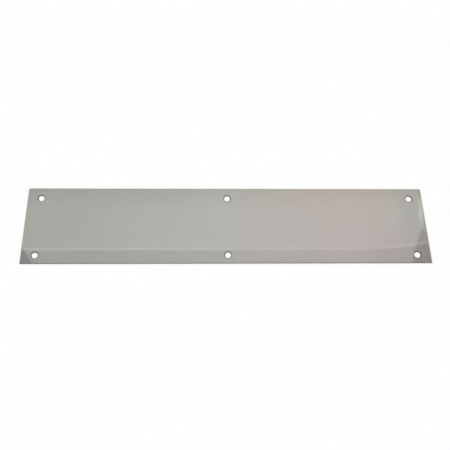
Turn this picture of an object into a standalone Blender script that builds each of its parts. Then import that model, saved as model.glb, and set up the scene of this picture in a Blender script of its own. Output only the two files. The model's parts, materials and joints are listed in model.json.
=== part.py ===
"""Kick plate: one polished stainless steel sheet with six countersunk screw holes.

The plate lies flat with its front face up. X runs along its length, Y towards its
top edge and Z out of its front face. The origin is the centre of the back face.
"""

import math

import bmesh
import bpy

# Sheet, in metres
PLATE_LENGTH = 0.762
PLATE_HEIGHT = 0.1524
SHEET_THICKNESS = 0.00127
CORNER_RADIUS = 0.0010
FRONT_ARRIS_RADIUS = 0.0007
BACK_ARRIS_RADIUS = 0.00015
CORNER_SEGMENTS = 5
ARRIS_SEGMENTS = 4

# Screw holes, each drilled through and countersunk from the front
HOLE_END_INSET = 0.0254
HOLE_TOP_INSET = 0.0210
HOLE_BOTTOM_INSET = 0.0160
HOLE_COLUMNS = 3
DRILL_DIAMETER = 0.0115
COUNTERSINK_DIAMETER = 0.0134
COUNTERSINK_ANGLE = math.radians(82.0)
CUTTER_OVERRUN = 0.002
HOLE_SEGMENTS = 64

STEEL_COLOUR = (0.60, 0.59, 0.56, 1.0)
STEEL_ROUGHNESS = 0.12


def clear_scene():
    for obj in list(bpy.data.objects):
        bpy.data.objects.remove(obj, do_unlink=True)


def new_collection(name):
    collection = bpy.data.collections.new(name)
    bpy.context.scene.collection.children.link(collection)
    return collection


def polished_stainless():
    material = bpy.data.materials.new("polished_stainless")
    material.use_nodes = True
    shader = material.node_tree.nodes["Principled BSDF"]
    shader.inputs["Base Color"].default_value = STEEL_COLOUR
    shader.inputs["Metallic"].default_value = 1.0
    shader.inputs["Roughness"].default_value = STEEL_ROUGHNESS
    material.diffuse_color = STEEL_COLOUR
    return material


def is_upright(edge):
    """True for an edge that runs through the sheet's thickness."""
    first, second = (vert.co for vert in edge.verts)
    return abs(first.z - second.z) > SHEET_THICKNESS / 2


def blank_mesh():
    """The sheared sheet: a slab on Z = 0 with its four corners rounded in plan."""
    bm = bmesh.new()
    bmesh.ops.create_cube(bm, size=1.0)
    bmesh.ops.scale(bm, vec=(PLATE_LENGTH, PLATE_HEIGHT, SHEET_THICKNESS), verts=bm.verts)
    bmesh.ops.translate(bm, vec=(0.0, 0.0, SHEET_THICKNESS / 2), verts=bm.verts)
    corners = [edge for edge in bm.edges if is_upright(edge)]
    bmesh.ops.bevel(
        bm,
        geom=corners,
        offset=CORNER_RADIUS,
        segments=CORNER_SEGMENTS,
        profile=0.5,
        affect="EDGES",
    )
    weigh_arrises(bm)
    mesh = bpy.data.meshes.new("plate")
    bm.to_mesh(mesh)
    bm.free()
    return mesh


def weigh_arrises(bm):
    """Marks how far the bevel eases each long edge: fully in front, less at the back."""
    weight = bm.edges.layers.float.new("bevel_weight_edge")
    back_share = BACK_ARRIS_RADIUS / FRONT_ARRIS_RADIUS
    for edge in bm.edges:
        if is_upright(edge):
            continue
        in_front = edge.verts[0].co.z > SHEET_THICKNESS / 2
        edge[weight] = 1.0 if in_front else back_share


def add_arris_bevel(plate):
    bevel = plate.modifiers.new("eased_arrises", "BEVEL")
    bevel.limit_method = "WEIGHT"
    bevel.width = FRONT_ARRIS_RADIUS
    bevel.segments = ARRIS_SEGMENTS
    bevel.use_clamp_overlap = True


def hole_positions():
    """The centres in X and Y of the screw holes: an upper and a lower row."""
    reach = PLATE_LENGTH / 2 - HOLE_END_INSET
    step = 2 * reach / (HOLE_COLUMNS - 1)
    rows = (PLATE_HEIGHT / 2 - HOLE_TOP_INSET, HOLE_BOTTOM_INSET - PLATE_HEIGHT / 2)
    return [(column * step - reach, y) for y in rows for column in range(HOLE_COLUMNS)]


def hole_profile():
    """Half of the drill and countersink in section, from the axis at the top to the axis below."""
    slope = math.tan(COUNTERSINK_ANGLE / 2)
    drill_radius = DRILL_DIAMETER / 2
    cone_depth = (COUNTERSINK_DIAMETER / 2 - drill_radius) / slope
    top = SHEET_THICKNESS + CUTTER_OVERRUN
    return [
        (0.0, 0.0, top),
        (COUNTERSINK_DIAMETER / 2 + CUTTER_OVERRUN * slope, 0.0, top),
        (drill_radius, 0.0, SHEET_THICKNESS - cone_depth),
        (drill_radius, 0.0, -CUTTER_OVERRUN),
        (0.0, 0.0, -CUTTER_OVERRUN),
    ]


def hole_cutter_mesh():
    points = hole_profile()
    mesh = bpy.data.meshes.new("screw_hole_section")
    mesh.from_pydata(points, [(i, i + 1) for i in range(len(points) - 1)], [])
    return mesh


def add_hole_cutter(name, mesh, centre, collection):
    cutter = bpy.data.objects.new(name, mesh)
    cutter.location = (centre[0], centre[1], 0.0)
    cutter.hide_render = True
    cutter.display_type = "WIRE"
    collection.objects.link(cutter)
    turn = cutter.modifiers.new("turn", "SCREW")
    turn.angle = math.tau
    turn.steps = HOLE_SEGMENTS
    turn.render_steps = HOLE_SEGMENTS
    turn.use_merge_vertices = True
    turn.merge_threshold = 0.00001
    return cutter


def cut_holes(plate, cutters):
    section = hole_cutter_mesh()
    for number, centre in enumerate(hole_positions(), start=1):
        cutter = add_hole_cutter(f"screw_hole_cutter_{number}", section, centre, cutters)
        cut = plate.modifiers.new(f"screw_hole_{number}", "BOOLEAN")
        cut.operation = "DIFFERENCE"
        cut.solver = "EXACT"
        cut.object = cutter


def build_plate(parts, cutters):
    mesh = blank_mesh()
    mesh.materials.append(polished_stainless())
    plate = bpy.data.objects.new("plate", mesh)
    parts.objects.link(plate)
    add_arris_bevel(plate)
    cut_holes(plate, cutters)
    return plate


def main():
    clear_scene()
    parts = new_collection("kick_plate")
    cutters = new_collection("cutters")
    build_plate(parts, cutters)


main()
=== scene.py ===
import json

import bmesh
import bpy
import numpy as np
from mathutils import Matrix, Vector

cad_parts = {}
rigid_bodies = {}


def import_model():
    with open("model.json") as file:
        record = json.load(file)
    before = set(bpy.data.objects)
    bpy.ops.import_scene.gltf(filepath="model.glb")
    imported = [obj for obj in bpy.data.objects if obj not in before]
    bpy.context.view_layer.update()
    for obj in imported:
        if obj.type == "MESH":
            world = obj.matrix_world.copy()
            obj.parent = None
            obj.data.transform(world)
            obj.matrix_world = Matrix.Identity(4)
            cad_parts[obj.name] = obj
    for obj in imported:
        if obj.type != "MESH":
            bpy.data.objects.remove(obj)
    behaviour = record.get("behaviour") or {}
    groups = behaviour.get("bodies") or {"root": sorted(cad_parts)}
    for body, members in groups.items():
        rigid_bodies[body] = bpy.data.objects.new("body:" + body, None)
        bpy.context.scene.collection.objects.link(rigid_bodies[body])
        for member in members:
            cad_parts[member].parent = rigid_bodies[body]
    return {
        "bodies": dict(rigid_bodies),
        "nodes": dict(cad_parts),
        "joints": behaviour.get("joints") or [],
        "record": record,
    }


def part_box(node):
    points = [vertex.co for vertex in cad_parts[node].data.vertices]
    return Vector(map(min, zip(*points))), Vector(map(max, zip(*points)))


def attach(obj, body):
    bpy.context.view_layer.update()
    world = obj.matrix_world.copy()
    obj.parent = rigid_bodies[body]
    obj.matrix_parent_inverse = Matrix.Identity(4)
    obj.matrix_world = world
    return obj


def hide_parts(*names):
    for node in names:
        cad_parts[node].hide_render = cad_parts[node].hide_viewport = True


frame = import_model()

scene = bpy.context.scene
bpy.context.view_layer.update()          # the CAD model's box
plateLow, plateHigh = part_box("plate")
plateLength = plateHigh.x - plateLow.x
plateHeight = plateHigh.y - plateLow.y
sheetThickness = plateHigh.z - plateLow.z
mm = 0.001


def say(text):
    print("kick plate:", text, flush=True)


# colours and node helpers

def hexToLinear(code):
    # sRGB hex to the linear values that shaders use
    srgb = np.array([int(code[i:i + 2], 16) for i in (1, 3, 5)]) / 255
    linear = np.where(srgb <= 0.04045, srgb / 12.92, ((srgb + 0.055) / 1.055) ** 2.4)
    return (*linear.tolist(), 1.0)


def addNode(tree, kind, settings=None, links=None):
    # settings: property or socket name to value; links: socket name to the output that feeds it
    node = tree.nodes.new(kind)
    for name, value in (settings or {}).items():
        if name in node.inputs:
            node.inputs[name].default_value = value
        else:
            setattr(node, name, value)
    for name, output in (links or {}).items():
        tree.links.new(output, node.inputs[name])
    return node


def newMaterial(name):
    material = bpy.data.materials.new(name)
    material.use_nodes = True
    material.node_tree.nodes.clear()
    return material, material.node_tree


def setRamp(node, stops):
    # stops: place along the ramp and hex colour, in order
    elements = node.color_ramp.elements
    while len(elements) < len(stops):
        elements.new(1.0)
    for element, (place, code) in zip(elements, stops):
        element.position = place
        element.color = hexToLinear(code)


# camera: it stands past the plate's lower edge, high up, and looks down on the front face

cameraPlace = {
    "lens": 42.95,                          # mm
    "sensor": 36.0,                         # mm
    "shift": 0.0155,                        # lens shift to the right, as a share of the picture's width
    "aimAlong": -0.0238,                    # where it aims, as a share of the length from the middle
    "from": (-0.066, -0.506, 1.2352),       # where it stands, in plate lengths from the plate's middle
}


def placeCamera():
    data = bpy.data.cameras.new("studioCamera")
    data.lens = cameraPlace["lens"]
    data.shift_x = cameraPlace["shift"]
    data.sensor_width = cameraPlace["sensor"]
    data.dof.use_dof = False
    camera = bpy.data.objects.new("studioCamera", data)
    scene.collection.objects.link(camera)
    top = Vector((0, 0, plateHigh.z))
    camera.location = top + Vector(cameraPlace["from"]) * plateLength
    aim = top + Vector((cameraPlace["aimAlong"] * plateLength, 0, 0))
    ahead = (aim - camera.location).normalized()
    up = Vector((1, 0, 0)).cross(ahead).normalized()   # keeps the plate's long edges level
    right = ahead.cross(up)
    camera.rotation_euler = Matrix((right, up, -ahead)).transposed().to_euler()
    scene.camera = camera
    return camera


camera = placeCamera()
say("camera placed")


# mesh helpers

def gridFaces(rows, columns, closed=False):
    # quads between neighbouring points of a rows x columns grid; closed joins the last column
    # to the first
    last = columns if closed else columns - 1
    row, column = np.meshgrid(np.arange(rows - 1), np.arange(last), indexing="ij")
    following = (column + 1) % columns
    corners = (row, column), (row, following), (row + 1, following), (row + 1, column)
    return np.stack([r * columns + c for r, c in corners], axis=-1).reshape(-1, 4)


def newMesh(name, points, faces):
    mesh = bpy.data.meshes.new(name)
    mesh.from_pydata(points, [], faces)
    mesh.update()
    return mesh


def addObject(name, mesh):
    made = bpy.data.objects.new(name, mesh)
    scene.collection.objects.link(made)
    return made


# the sheet: its sizes are measured on the CAD solid that it stands for

tolerance = 0.01 * mm
holeZone = 12 * mm                      # nothing but the hole lies this close to its axis
cadPoints = np.empty(len(frame["nodes"]["plate"].data.vertices) * 3)
frame["nodes"]["plate"].data.vertices.foreach_get("co", cadPoints)
cadPoints = cadPoints.reshape(-1, 3)
onFront = cadPoints[:, 2] > plateHigh.z - tolerance
onBack = cadPoints[:, 2] < plateLow.z + tolerance
onEnd = cadPoints[:, 0] > plateHigh.x - tolerance

holeCentres = np.array([np.mean(opening["box_m"], axis=0)[:2]
                        for opening in frame["record"]["physics"]["openings"]])
holeColumns, holeRows = (np.unique(holeCentres[:, axis].round(6)) for axis in (0, 1))
fromHole = np.hypot(*(cadPoints[:, :2] - holeCentres[0]).T)
besideHole = fromHole < holeZone

sheet = {
    "frontArris": plateHigh.x - cadPoints[onFront, 0].max(),
    "backArris": plateHigh.x - cadPoints[onBack, 0].max(),
    "corner": plateHigh.y - cadPoints[onEnd, 1].max(),
    "drillRadius": fromHole[besideHole].min(),
    "mouthRadius": fromHole[besideHole & onFront].min(),
    "mouthArris": 1.3 * mm,             # the polishing mop rounds the countersink's rim over
    "seatArris": 0.01 * mm,
    "exitArris": 0.03 * mm,             # the drill's exit is only deburred
    "countersinkAngle": 82,             # degrees across the cone
    "closestGap": 1.1 * mm,             # between mesh columns beside a hole
    "widestGap": 7 * mm,                # and far from one
    "stationSteps": 4000,               # how finely the columns' places are worked out
    "frontRings": 22, "backRings": 8,
    "frontCrowding": 1.8, "backCrowding": 1.6,   # the rings lie closer together towards the hole
    "arcSteps": 6, "cornerSteps": 8,
    "flatEnd": 3,                       # a hole's section starts and ends this many arris radii out
    "flatBeside": 0.02 * mm,            # keeps the faces flat up to where an arc starts
    "dip": 0.035 * mm,                  # how far the rolled sheet wanders from flat
    # slow waves in it: their length along X and Y in metres, their phase and their strength
    "waves": [(0.41, 0.9, 0.6, 1.0), (0.26, -0.3, 2.1, 0.7), (1.4, 0.13, 4.0, 0.5)],
}

finishes = ["front", "edge", "hole", "back"]       # the sheet's materials, in their slots' order


def roundedPath(corners, radii, steps):
    # A section line through the corners, with each inner corner turned into an arc that touches both
    # its sides: the arc's points are its first radius turned evenly into its last one
    corners = np.array(corners, float)
    path = [corners[:1]]
    for before, corner, after, radius in zip(corners, corners[1:], corners[2:], radii):
        back, on = (side / np.linalg.norm(side) for side in (before - corner, after - corner))
        half = np.arccos(back @ on) / 2
        reach = radius / np.tan(half)
        middle = corner + (back + on) / np.linalg.norm(back + on) * radius / np.sin(half)
        first, last = corner + back * reach - middle, corner + on * reach - middle
        whole = np.pi - 2 * half
        turn = np.linspace(0, whole, steps + 1)[:, None]
        arc = middle + (np.sin(whole - turn) * first + np.sin(turn) * last) / np.sin(whole)
        beside = reach + sheet["flatBeside"]
        path += [[corner + back * beside], arc, [corner + on * beside]]
    return np.concatenate(path + [corners[-1:]])


def stations(low, high, centre, reach):
    # places from low to high whose gaps grow with the square of the distance from centre
    fine = np.linspace(low, high, sheet["stationSteps"])
    gap = np.minimum(sheet["widestGap"], sheet["closestGap"] * (1 + ((fine - centre) / reach) ** 2))
    count = np.concatenate([[0], np.cumsum(np.diff(fine) / gap[1:])])
    return np.interp(np.linspace(0, count[-1], int(np.ceil(count[-1])) + 1), count, fine)


def loopRound(xs, ys):
    # the stations on a rectangle's four sides as one loop, counter-clockwise from its lower left
    sides = [(xs[:-1], ys[0]), (xs[-1], ys[:-1]), (xs[:0:-1], ys[-1]), (xs[0], ys[:0:-1])]
    return np.concatenate([np.stack(np.broadcast_arrays(x, y), axis=-1) for x, y in sides])


def holeSection():
    # radius and height down one hole: front face, cone, drilled land, back face
    top, drill, mouth = plateHigh.z, sheet["drillRadius"], sheet["mouthRadius"]
    seat = top - (mouth - drill) / np.tan(np.radians(sheet["countersinkAngle"] / 2))
    rim = mouth + sheet["flatEnd"] * sheet["mouthArris"]
    burr = drill + sheet["flatEnd"] * sheet["exitArris"]
    corners = [(rim, top), (mouth, top), (drill, seat), (drill, plateLow.z), (burr, plateLow.z)]
    radii = [sheet[name] for name in ("mouthArris", "seatArris", "exitArris")]
    return roundedPath(corners, radii, sheet["arcSteps"])


def holeShare(centre, xs, ys):
    # One hole's share of the sheet. Columns go round it: each is a direction from the hole's axis to a
    # station on the share's border. Rows go from the border in over the front face, down the hole's
    # section and out over the back face: radius = inner radius x (1 - share) + border distance x share
    border = loopRound(xs, ys) - centre
    distance = np.linalg.norm(border, axis=1)
    direction = border / distance[:, None]
    section = holeSection()
    inwards = np.linspace(1, 0, sheet["frontRings"] + 1)[:-1, None] ** sheet["frontCrowding"]
    outwards = np.linspace(0, 1, sheet["backRings"] + 1)[1:, None] ** sheet["backCrowding"]
    radius = np.concatenate([section[0, 0] * (1 - inwards) + distance * inwards,
                             np.repeat(section[:, :1], len(border), axis=1),
                             section[-1, 0] * (1 - outwards) + distance * outwards])
    height = np.concatenate([np.full(len(inwards), plateHigh.z), section[:, 1],
                             np.full(len(outwards), plateLow.z)])
    points = np.empty(radius.shape + (3,))
    points[..., :2] = centre + radius[..., None] * direction
    points[..., 2] = height[:, None]
    inHole = slice(len(inwards) + 1, len(inwards) + len(section) - 1)
    finish = np.full(len(height) - 1, finishes.index("front"))
    finish[inHole] = finishes.index("hole")
    finish[inHole.stop:] = finishes.index("back")
    return points, finish


def outerEdge(xs, ys):
    # The sheet's outer edge: a section carried round the outline. It starts flat on the back, rounds the
    # back arris, stands up the sheared side and rounds the front arris. Rows go along the section, as
    # a reach outwards and a height, and columns round the outline, where a corner turns on one point
    reach = sheet["corner"]
    section = roundedPath(
        [(0, plateLow.z), (reach, plateLow.z), (reach, plateHigh.z), (0, plateHigh.z)],
        (sheet["backArris"], sheet["frontArris"]), sheet["arcSteps"])
    turn = np.linspace(0, np.pi / 2, sheet["cornerSteps"] + 1)
    sides = [(xs, np.full(len(xs), ys[0])), (np.full(len(ys), xs[-1]), ys),
             (xs[::-1], np.full(len(xs), ys[-1])), (np.full(len(ys), xs[0]), ys[::-1])]
    places, bearings = [], []
    for number, (x, y) in enumerate(sides):
        outwards = (number - 1) * np.pi / 2
        places.append(np.stack([x, y], axis=-1))
        bearings.append(np.full(len(x), outwards))
        places.append(np.repeat([[x[-1], y[-1]]], len(turn) - 2, axis=0))
        bearings.append(outwards + turn[1:-1])
    places, bearings = np.concatenate(places), np.concatenate(bearings)
    outwards = np.stack([np.cos(bearings), np.sin(bearings)], axis=-1)
    points = np.empty((len(section), len(places), 3))
    points[..., :2] = places + section[:, :1, None] * outwards
    points[..., 2] = section[:, 1:]
    finish = np.full(len(section) - 1, finishes.index("edge"))
    finish[0] = finishes.index("back")
    finish[-1] = finishes.index("front")
    return points, finish


def wander(x, y):
    # how far the sheet lies under flat: the sum of its sine waves, brought between 0 and the dip
    waves = sum(strength * np.sin(2 * np.pi * (x / lengthX + y / lengthY) + phase)
                for lengthX, lengthY, phase, strength in sheet["waves"])
    most = sum(strength for *shape, strength in sheet["waves"])
    return sheet["dip"] * (0.5 + 0.5 * waves / most)


def middles(places):
    return (places[1:] + places[:-1]) / 2


def joined(parts):
    # runs of stations as one: each run starts where the one before it ends
    return np.concatenate([part[:-1] for part in parts[:-1]] + [parts[-1]])


def addPlate():
    inset = sheet["corner"]
    xBreaks = [plateLow.x + inset, *middles(holeColumns), plateHigh.x - inset]
    yBreaks = [plateLow.y + inset, *middles(holeRows), plateHigh.y - inset]
    toEdge = min(holeRows[0] - plateLow.y, plateHigh.y - holeRows[-1])
    xParts = [stations(*xBreaks[i:i + 2], x, toEdge) for i, x in enumerate(holeColumns)]
    toEnd = holeColumns[0] - plateLow.x
    yParts = [stations(*yBreaks[i:i + 2], y, toEnd) for i, y in enumerate(holeRows)]
    grids = [holeShare((x, y), xPart, yPart)
             for x, xPart in zip(holeColumns, xParts) for y, yPart in zip(holeRows, yParts)]
    grids.append(outerEdge(joined(xParts), joined(yParts)))
    points, faces, finish, count = [], [], [], 0
    for grid, rowFinish in grids:
        faces.append(gridFaces(*grid.shape[:2], closed=True) + count)
        finish.append(np.repeat(rowFinish, grid.shape[1]))
        points.append(grid.reshape(-1, 3))
        count += len(points[-1])
    points = np.concatenate(points)
    x, y = points[:, 0], points[:, 1]
    points[:, 2] = plateLow.z + (points[:, 2] - plateLow.z) * (1 - wander(x, y) / sheetThickness)
    mesh = newMesh("kickPlateSheet", points, np.concatenate(faces))
    mesh.polygons.foreach_set("material_index", np.concatenate(finish).astype(np.int32))
    mesh.polygons.foreach_set("use_smooth", np.ones(len(mesh.polygons), bool))
    bm = bmesh.new()
    bm.from_mesh(mesh)
    bmesh.ops.remove_doubles(bm, verts=bm.verts, dist=0.1 * tolerance)
    bmesh.ops.dissolve_degenerate(bm, edges=bm.edges, dist=0.1 * tolerance)
    openEdges = sum(not edge.is_manifold for edge in bm.edges)
    say(f"sheet of {len(bm.faces)} faces, open edges {openEdges}")
    bm.to_mesh(mesh)
    bm.free()
    for finishMade in (addPolishedSteel(), addDeburredEdge(), addCountersunkHole(), addMillFinish()):
        mesh.materials.append(finishMade)
    plate = addObject("kickPlateSheet", mesh)
    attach(plate, "root")
    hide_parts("plate")


# the studio: a white sweep, a large soft light and the ceiling that the polished face mirrors

studio = {
    "floorSize": 7.0,                   # m
    "floorGap": 0.0003,                 # the plate's back lies this far over the floor
    "floorColour": "#f6f6f7",
    "floorRoughness": 0.9, "floorGloss": 0.1,
    "lampHeight": 3.0, "lampSize": 20.0,   # m
    "lampPower": 955.0,                 # W
    "worldSeen": "#fdfdfc",             # the sky that shows behind the floor
    # what the steel mirrors past the ceiling, from 0 straight down to 1 straight up: pale under
    # the horizon, dark at it and grey overhead
    "worldMirrored": [(0.4, "#b4b4b2"), (0.49, "#4c4c4b"), (0.52, "#4c4c4b"), (0.75, "#a9a9a6")],
}


def addFloor():
    half = studio["floorSize"] / 2
    points = [(-half, -half, 0), (half, -half, 0), (half, half, 0), (-half, half, 0)]
    mesh = newMesh("studioFloor", points, [(0, 1, 2, 3)])
    mesh.transform(Matrix.Translation((0, 0, plateLow.z - studio["floorGap"])))
    floor = addObject("studioFloor", mesh)
    # painted sweep: matt white, with hardly any gloss
    material, tree = newMaterial("whitePaintedSweep")
    shader = addNode(tree, "ShaderNodeBsdfPrincipled", {
        "Base Color": hexToLinear(studio["floorColour"]), "Roughness": studio["floorRoughness"],
        "Specular IOR Level": studio["floorGloss"]})
    addNode(tree, "ShaderNodeOutputMaterial", links={"Surface": shader.outputs["BSDF"]})
    mesh.materials.append(material)


def addLamp():
    data = bpy.data.lights.new("softLamp", "AREA")
    data.shape = "SQUARE"
    data.size = studio["lampSize"]
    data.energy = studio["lampPower"]
    lamp = bpy.data.objects.new("softLamp", data)
    lamp.location = (0, 0, studio["lampHeight"])
    lamp.visible_glossy = False      # the ceiling card is what the steel mirrors
    lamp.visible_camera = False
    scene.collection.objects.link(lamp)


def setWorld():
    # mirrored rays see the ramp, by how high they point; the camera sees white
    world = bpy.data.worlds.new("studioWorld")
    world.use_nodes = True
    scene.world = world
    tree = world.node_tree
    tree.nodes.clear()
    place = addNode(tree, "ShaderNodeTexCoord")
    height = addNode(tree, "ShaderNodeSeparateXYZ", links={"Vector": place.outputs["Generated"]})
    share = addNode(tree, "ShaderNodeMapRange", {"From Min": -1.0, "From Max": 1.0},
                    {"Value": height.outputs["Z"]})
    ramp = addNode(tree, "ShaderNodeValToRGB", links={"Fac": share.outputs["Result"]})
    setRamp(ramp, studio["worldMirrored"])
    mirrored = addNode(tree, "ShaderNodeBackground", links={"Color": ramp.outputs["Color"]})
    seen = addNode(tree, "ShaderNodeBackground", {"Color": hexToLinear(studio["worldSeen"])})
    rays = addNode(tree, "ShaderNodeLightPath")
    both = addNode(tree, "ShaderNodeMixShader", links={"Fac": rays.outputs["Is Camera Ray"]})
    tree.links.new(mirrored.outputs["Background"], both.inputs[1])
    tree.links.new(seen.outputs["Background"], both.inputs[2])
    addNode(tree, "ShaderNodeOutputWorld", links={"Surface": both.outputs["Shader"]})


# The ceiling's glow is set by where on the plate the camera sees it mirrored:
# along runs -0.5 to 0.5 over the plate's length, and up runs -0.5 to 0.5 over its height.
ceiling = {
    "height": 1.1,                      # m over the plate
    "alongReach": 7.0, "alongSteps": 420,
    "upReach": 34.0, "upSteps": 520,
    "fineBand": (0.44, 0.52), "fineGap": 0.0012,   # closer columns, where the ends' dark shapes begin
    # colour that the steel shows along the plate, from end to end
    "tint": [(-0.5, "#a9a7a2"), (-0.43, "#aaa9a4"), (-0.33, "#acaca7"), (-0.2, "#afb0aa"),
             (-0.08, "#b2b3ad"), (0.0, "#b4b5af"), (0.05, "#b7b4af"), (0.18, "#b9b4b0"),
             (0.3, "#bbb3af"), (0.37, "#b7b0ab"), (0.42, "#b3b0ac"), (0.45, "#b0aca9"),
             (0.462, "#acaca8"), (0.6, "#aaaaa6")],
    # how bright it is up the plate, 1 in the middle
    "shade": [(-20.0, 0.66), (-3.0, 0.76), (-0.5, 0.85), (-0.44, 0.89), (-0.345, 0.89),
              (-0.322, 1.0), (0.18, 1.0), (0.27, 0.975), (0.36, 0.945), (0.44, 0.915),
              (0.5, 0.89), (1.2, 0.8), (4.0, 0.72), (20.0, 0.62)],
    # warmer and brighter patches: along, up, their reach both ways, and what they multiply
    # the light by
    "patches": [(0.30, 0.52, 0.2, 0.34, (1.04, 1.012, 0.945)),
                (0.405, 0.2, 0.05, 0.26, (1.02, 1.03, 1.0)),
                (0.42, -0.33, 0.06, 0.26, (1.015, 0.96, 1.01))],
    # the bright lip of the softbox: level, then rising past lineRiseFrom
    "lineAt": -0.322, "lineWidth": 0.011,
    "lineRise": 0.08, "lineRiseFrom": 0.33, "lineRiseMost": 1.5, "lineBend": 1.7,
    # how brightly the lip glows along the plate
    "lineGlow": [(-1.0, 0.0), (-0.5, 0.075), (-0.2, 0.06), (-0.02, 0.055), (0.04, 0.025),
                 (0.16, 0.045), (0.29, 0.03), (0.35, 0.01), (0.4, 0.06), (0.5, 0.09), (1.0, 0.0)],
    "edgeSoft": 0.0015,                 # how softly the shapes at the ends begin
    # the bright strip at the right end: where along it starts, how far and between which heights
    # it leans out, and the heights between which it comes in and goes out
    "gleamFrom": 0.485, "gleamLean": 0.006, "gleamLeanUp": (0.12, 0.28),
    "gleamIn": (-0.08, 0.24), "gleamOut": (0.34, 0.42), "gleamStrength": 0.27,
    "frameAt": 0.4965, "frameShade": 0.78,   # past the right end the ceiling is darker
    # the right dark corner: its foot, its lean to the tip, how far up and along the tip lies, how
    # its inner side bends, and how steeply its upper side falls away past the tip
    "rightCorner": (0.453, 0.038, 0.455, 0.491), "rightBend": 1.5, "rightFall": 0.106,
    "leftCorner": (-0.469, -0.14),      # its foot and its lean
    "rightDark": "#98938e", "leftDark": "#8d8f8f",
    # the frame and the corners are only near the plate's mirror image: from full to none
    "nearAlong": (0.6, 0.8), "nearUp": (0.6, 0.9), "cornersUp": (0.0, 0.5),
    # slow waves in the light outside that image: their lengths and how strong they are. Distances
    # are counted in ovals of the half lengths waveOval: the waves come in over waveIn and go out
    # over waveOut
    "waveAlong": 1.0, "waveUp": 7.0, "waveStrength": 0.15,
    "waveOval": (0.62, 0.8), "waveIn": (1.05, 2.2), "waveOut": (3.0, 14.0),
}


def mirrorPlace(along, up, height):
    # The point over the plate that the camera sees mirrored at this place on it: the ray
    # from the camera to the plate is carried on at the same slope, to the same side, but upwards
    x, y = along * plateLength, up * plateHeight
    stand = camera.location
    slope = height / (stand.z - plateHigh.z)
    return x + (x - stand.x) * slope, y + (y - stand.y) * slope


def lineHeight(along):
    # level, then rising as a power of the distance past lineRiseFrom, which is 1 at the plate's end
    past = (along - ceiling["lineRiseFrom"]) / (0.5 - ceiling["lineRiseFrom"])
    past = np.clip(past, 0, ceiling["lineRiseMost"])
    return ceiling["lineAt"] + ceiling["lineRise"] * past ** ceiling["lineBend"]


def smoothStep(value, start, end):
    # from 0 at start to 1 at end, level at both: 3 x share squared - 2 x share cubed
    share = np.clip((value - start) / (end - start), 0, 1)
    return share * share * (3 - 2 * share)


def fadeOut(value, span):
    # from 1 at the span's start to 0 at its end
    return smoothStep(value, *reversed(span))


def gleamGlow(along, up):
    # the bright strip's added share of light: an edge that leans outwards x its rise and fall up it
    soft = ceiling["edgeSoft"]
    start = ceiling["gleamFrom"] + ceiling["gleamLean"] * smoothStep(up, *ceiling["gleamLeanUp"])
    strip = smoothStep(along - start, -soft, soft)
    return ceiling["gleamStrength"] * (
        strip * smoothStep(up, *ceiling["gleamIn"]) * fadeOut(up, ceiling["gleamOut"]))


def waveGlow(along, up):
    # the waves' added share of light: a sine across the ceiling, faded in and out by distance
    halfAlong, halfUp = ceiling["waveOval"]
    distance = np.hypot(along / halfAlong, up / halfUp)
    away = smoothStep(distance, *ceiling["waveIn"]) * fadeOut(distance, ceiling["waveOut"])
    phase = 2 * np.pi * (along / ceiling["waveAlong"] + up / ceiling["waveUp"])
    return ceiling["waveStrength"] * (np.sin(phase) * away)


def insideCorners(along, up):
    # how far inside each dark corner a place is, below 0 outside it, with that corner's colour
    rise = np.maximum(up + 0.5, 0)
    foot, lean, reach, tip = ceiling["rightCorner"]
    innerSide = foot + lean * (rise / reach) ** ceiling["rightBend"]
    upperSide = tip + ceiling["rightFall"] * (reach - 0.5 - up)
    yield np.minimum(along - innerSide, upperSide - along), ceiling["rightDark"]
    foot, lean = ceiling["leftCorner"]
    yield foot + lean * rise - along, ceiling["leftDark"]


def ceilingGlow(along, up):
    # tint along the plate x shade up it x patches x waves x gleam, darkened past the frame and in
    # the two corners, plus the lip
    places = [place for place, code in ceiling["tint"]]
    tints = np.array([hexToLinear(code)[:3] for place, code in ceiling["tint"]])
    glow = np.stack([np.interp(along, places, tints[:, i]) for i in range(3)], axis=-1)
    line = lineHeight(along)
    shade = np.interp(up - line + ceiling["lineAt"], *zip(*ceiling["shade"]))[..., None]
    for atAlong, atUp, reachAlong, reachUp, strength in ceiling["patches"]:
        away = ((along - atAlong) / reachAlong) ** 2 + ((up - atUp) / reachUp) ** 2
        glow = glow * (1 + (np.array(strength) - 1) * np.exp(-away)[..., None])
    glow = glow * shade * (1 + waveGlow(along, up))[..., None]
    glow = glow * (1 + gleamGlow(along, up))[..., None]
    soft = ceiling["edgeSoft"]
    near = fadeOut(np.abs(up), ceiling["nearUp"]) * fadeOut(np.abs(along), ceiling["nearAlong"])
    frame = smoothStep(along - ceiling["frameAt"], -soft, soft) * near
    glow = glow * (1 - (1 - ceiling["frameShade"]) * frame)[..., None]
    near = near * fadeOut(up, ceiling["cornersUp"])
    for inside, dark in insideCorners(along, up):
        share = (smoothStep(inside, -soft, soft) * near)[..., None]
        glow = glow * (1 - share) + np.array(hexToLinear(dark)[:3]) * shade * share
    lip = np.exp(-((up - line) / ceiling["lineWidth"] - 1) ** 2)
    lip = lip * np.interp(along, *zip(*ceiling["lineGlow"]))
    return glow + lip[..., None]


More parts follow.
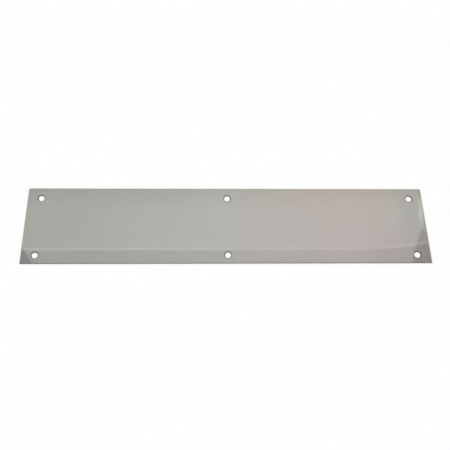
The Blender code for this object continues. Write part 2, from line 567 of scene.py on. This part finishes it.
def addCeiling():
    # a flat sheet: the rows' places up the plate go by the cube of an even spread, so they are
    # closest together near the lip, and the columns' by its square
    spread = np.linspace(-1, 1, ceiling["upSteps"])
    rows = ceiling["lineAt"] + spread ** 3 * ceiling["upReach"]
    inner, outer = ceiling["fineBand"]
    fine = np.arange(-outer, -inner, ceiling["fineGap"])
    spread = np.linspace(-1, 1, ceiling["alongSteps"])
    columns = np.sort(np.concatenate([spread * np.abs(spread) * ceiling["alongReach"], fine, -fine]))
    up, along = np.meshgrid(rows, columns, indexing="ij")
    up = up + lineHeight(along) - ceiling["lineAt"]
    x, y = mirrorPlace(along, up, ceiling["height"])
    z = np.full_like(x, plateHigh.z + ceiling["height"])
    points = np.stack([x, y, z], axis=-1).reshape(-1, 3)
    mesh = newMesh("softboxCeiling", points, gridFaces(*x.shape)[:, ::-1])
    # the steel takes its own colour out of the light, so the glow is divided by it first
    steelColour = np.array(hexToLinear(polish["tone"][0][1])[:3])
    glow = ceilingGlow(along, up) / steelColour / polish["hairsLeave"]
    colours = np.ones((glow[..., 0].size, 4))
    colours[:, :3] = glow.reshape(-1, 3)
    layer = mesh.attributes.new("glow", "FLOAT_COLOR", "POINT")
    layer.data.foreach_set("color", colours.astype(np.float32).ravel())
    # diffuser cloth over lamps: seen only mirrored in the steel
    material, tree = newMaterial("glowingDiffuser")
    glowing = addNode(tree, "ShaderNodeAttribute", {"attribute_name": "glow"})
    light = addNode(tree, "ShaderNodeEmission", links={"Color": glowing.outputs["Color"]})
    addNode(tree, "ShaderNodeOutputMaterial", links={"Surface": light.outputs["Emission"]})
    mesh.materials.append(material)
    card = addObject("softboxCeiling", mesh)
    card.visible_camera = False
    card.visible_diffuse = False
    card.visible_shadow = False
    card.visible_transmission = False


# Polished stainless steel: cold-rolled sheet, ground along its length and buffed bright.
# The eye gets a sharp mirror, a little clouded by the mop, with hair-fine lines along the plate.
polish = {
    "tone": [(0.1, "#cbc8c3"), (0.42, "#c8c5bf")],   # along the wear pattern, from bright to worn
    "wear": (0.1, 0.45), "roughness": (0.02, 0.045),   # the wear pattern's range, and what it gives
    "lineSpacing": 1.6 * mm,            # real grinding lines lie 0.1 mm apart; drawn coarser to show
    "lineLength": 240 * mm,
    "lineDepth": 0.0004 * mm,
    "cloudSize": 70 * mm, "cloudStretch": 1.6,
    "hairSpacing": 0.3 * mm,            # fine scratches from the mop, drawn coarser to show
    "hairLength": 45 * mm,
    "hairs": (0.5, 0.75), "hairShade": 0.93,   # the part of the pattern that is a scratch, its shade
    "hairsLeave": 0.98,                 # the share of the light that they leave, on average
}

usualNoise = (0.3, 0.7)                 # nearly all of a noise pattern lies between these


def objectPattern(tree, size, detail=3.0, roughness=0.55):
    # noise on Object coordinates, with features of the given size along X, Y and Z
    place = addNode(tree, "ShaderNodeTexCoord")
    scaled = addNode(tree, "ShaderNodeMapping", {"Scale": tuple(1 / length for length in size)},
                     {"Vector": place.outputs["Object"]})
    return addNode(tree, "ShaderNodeTexNoise", {"Scale": 1.0, "Detail": detail, "Roughness": roughness},
                   {"Vector": scaled.outputs["Vector"]})


def addPolishedSteel():
    material, tree = newMaterial("polishedStainlessSteel")
    lines = objectPattern(tree, (polish["lineLength"], polish["lineSpacing"], polish["lineLength"]))
    cloud = polish["cloudSize"]
    clouds = objectPattern(tree, (polish["cloudStretch"] * cloud, cloud, cloud))
    worn = addNode(tree, "ShaderNodeMath", {"operation": "MULTIPLY"},
                   {0: lines.outputs["Fac"], 1: clouds.outputs["Fac"]})
    tone = addNode(tree, "ShaderNodeValToRGB", links={"Fac": worn.outputs["Value"]})
    setRamp(tone, polish["tone"])
    hairs = objectPattern(tree, (polish["hairLength"], polish["hairSpacing"], polish["hairLength"]),
                          detail=2.0)
    low, high = polish["hairs"]
    scratch = addNode(tree, "ShaderNodeMapRange", {
        "From Min": low, "From Max": high, "To Min": 1.0, "To Max": polish["hairShade"]},
        {"Value": hairs.outputs["Fac"]})
    shaded = addNode(tree, "ShaderNodeVectorMath", {"operation": "SCALE"},
                     {0: tone.outputs["Color"], "Scale": scratch.outputs["Result"]})
    (low, high), (glossy, dull) = polish["wear"], polish["roughness"]
    rough = addNode(tree, "ShaderNodeMapRange", {
        "From Min": low, "From Max": high, "To Min": glossy, "To Max": dull},
        {"Value": worn.outputs["Value"]})
    bump = addNode(tree, "ShaderNodeBump", {"Strength": 1.0, "Distance": polish["lineDepth"]},
                   {"Height": lines.outputs["Fac"]})
    shader = addNode(tree, "ShaderNodeBsdfPrincipled", {"Metallic": 1.0}, {
        "Base Color": shaded.outputs["Vector"], "Roughness": rough.outputs["Result"],
        "Normal": bump.outputs["Normal"]})
    addNode(tree, "ShaderNodeOutputMaterial", links={"Surface": shader.outputs["BSDF"]})
    return material


# Deburred edge: sheared, then eased with a fine stone. The eye gets a satin band with marks that run along
# the edge,
# darker than the face: painted shade in its base colour stands in for the dark room that the edge mirrors at
# its side.
edging = {
    # darker than the face's steel as painted shade, for the dark room the edge mirrors; the marks vary it
    "tone": [(0.35, "#615f5b"), (0.65, "#7c7a76")],
    "roughness": (0.16, 0.3),
    "markLength": 9 * mm,
    "markSpacing": 0.35 * mm,           # real stone marks are about 0.05 mm apart; drawn coarser to show
    "markDepth": 0.004 * mm,
}


def addDeburredEdge():
    material, tree = newMaterial("deburredStainlessEdge")
    marks = objectPattern(tree, (edging["markLength"], edging["markLength"], edging["markSpacing"]),
                          detail=4.0)
    tone = addNode(tree, "ShaderNodeValToRGB", links={"Fac": marks.outputs["Fac"]})
    setRamp(tone, edging["tone"])
    (low, high), (glossy, dull) = usualNoise, edging["roughness"]
    rough = addNode(tree, "ShaderNodeMapRange", {
        "From Min": low, "From Max": high, "To Min": glossy, "To Max": dull},
        {"Value": marks.outputs["Fac"]})
    bump = addNode(tree, "ShaderNodeBump", {"Strength": 1.0, "Distance": edging["markDepth"]},
                   {"Height": marks.outputs["Fac"]})
    shader = addNode(tree, "ShaderNodeBsdfPrincipled", {"Metallic": 1.0}, {
        "Base Color": tone.outputs["Color"], "Roughness": rough.outputs["Result"],
        "Normal": bump.outputs["Normal"]})
    addNode(tree, "ShaderNodeOutputMaterial", links={"Surface": shader.outputs["BSDF"]})
    return material


# Countersunk hole: cut by a turning tool and left as cut. The eye gets fine rings down the cone, the tool's
# marks;
# its base colour is kept dark as painted shade, for the dark ring round the hole's rim.
boring = {
    # kept dark as painted shade for the hole's dark rim; the light and dark bands are the tool's rings
    "tone": [(0.1, "#565451"), (0.8, "#86837f")],
    "roughness": 0.24,
    "ringPitch": 0.22 * mm,             # real tool marks are about 0.05 mm apart; drawn coarser to show
    "ringDepth": 0.006 * mm,
    "ringWobble": 1.5,
}


def addCountersunkHole():
    material, tree = newMaterial("turnedStainlessCountersink")
    place = addNode(tree, "ShaderNodeTexCoord")
    rings = addNode(tree, "ShaderNodeTexWave", {
        "wave_type": "BANDS", "bands_direction": "Z", "Detail": 2.0,
        "Scale": np.pi / 10 / boring["ringPitch"],   # a wave texture's bands are pi / 10 apart at 1
        "Distortion": boring["ringWobble"]}, {"Vector": place.outputs["Object"]})
    tone = addNode(tree, "ShaderNodeValToRGB", links={"Fac": rings.outputs["Fac"]})
    setRamp(tone, boring["tone"])
    bump = addNode(tree, "ShaderNodeBump", {"Strength": 1.0, "Distance": boring["ringDepth"]},
                   {"Height": rings.outputs["Fac"]})
    shader = addNode(tree, "ShaderNodeBsdfPrincipled", {"Metallic": 1.0, "Roughness": boring["roughness"]}, {
        "Base Color": tone.outputs["Color"], "Normal": bump.outputs["Normal"]})
    addNode(tree, "ShaderNodeOutputMaterial", links={"Surface": shader.outputs["BSDF"]})
    return material


# Mill finish: the back is left as the sheet came off the rolls, pickled and dull. The eye gets a soft
# grey with cloudy streaks in the rolling direction, along the plate.
mill = {
    "tone": [(0.3, "#a6a39e"), (0.7, "#c2bfba")],
    "roughness": (0.3, 0.46),
    "streakLength": 60 * mm, "streakWidth": 5 * mm,
    "grain": 0.5 * mm, "grainStretch": 4,   # real grain is finer; drawn coarser to show
    "grainDepth": 0.003 * mm,
}


def addMillFinish():
    material, tree = newMaterial("millFinishStainless")
    width, grainSize = mill["streakWidth"], mill["grain"]
    streaks = objectPattern(tree, (mill["streakLength"], width, width), detail=6.0, roughness=0.62)
    grain = objectPattern(tree, (mill["grainStretch"] * grainSize, grainSize, grainSize), detail=2.0)
    tone = addNode(tree, "ShaderNodeValToRGB", links={"Fac": streaks.outputs["Fac"]})
    setRamp(tone, mill["tone"])
    (low, high), (glossy, dull) = usualNoise, mill["roughness"]
    rough = addNode(tree, "ShaderNodeMapRange", {
        "From Min": low, "From Max": high, "To Min": glossy, "To Max": dull},
        {"Value": grain.outputs["Fac"]})
    bump = addNode(tree, "ShaderNodeBump", {"Strength": 1.0, "Distance": mill["grainDepth"]},
                   {"Height": grain.outputs["Fac"]})
    shader = addNode(tree, "ShaderNodeBsdfPrincipled", {"Metallic": 1.0}, {
        "Base Color": tone.outputs["Color"], "Roughness": rough.outputs["Result"],
        "Normal": bump.outputs["Normal"]})
    addNode(tree, "ShaderNodeOutputMaterial", links={"Surface": shader.outputs["BSDF"]})
    return material


addPlate()
say("sheet made")
addFloor()
addLamp()
setWorld()
addCeiling()
say("studio lit")

scene.view_settings.view_transform = "Standard"
scene.view_settings.look = "None"
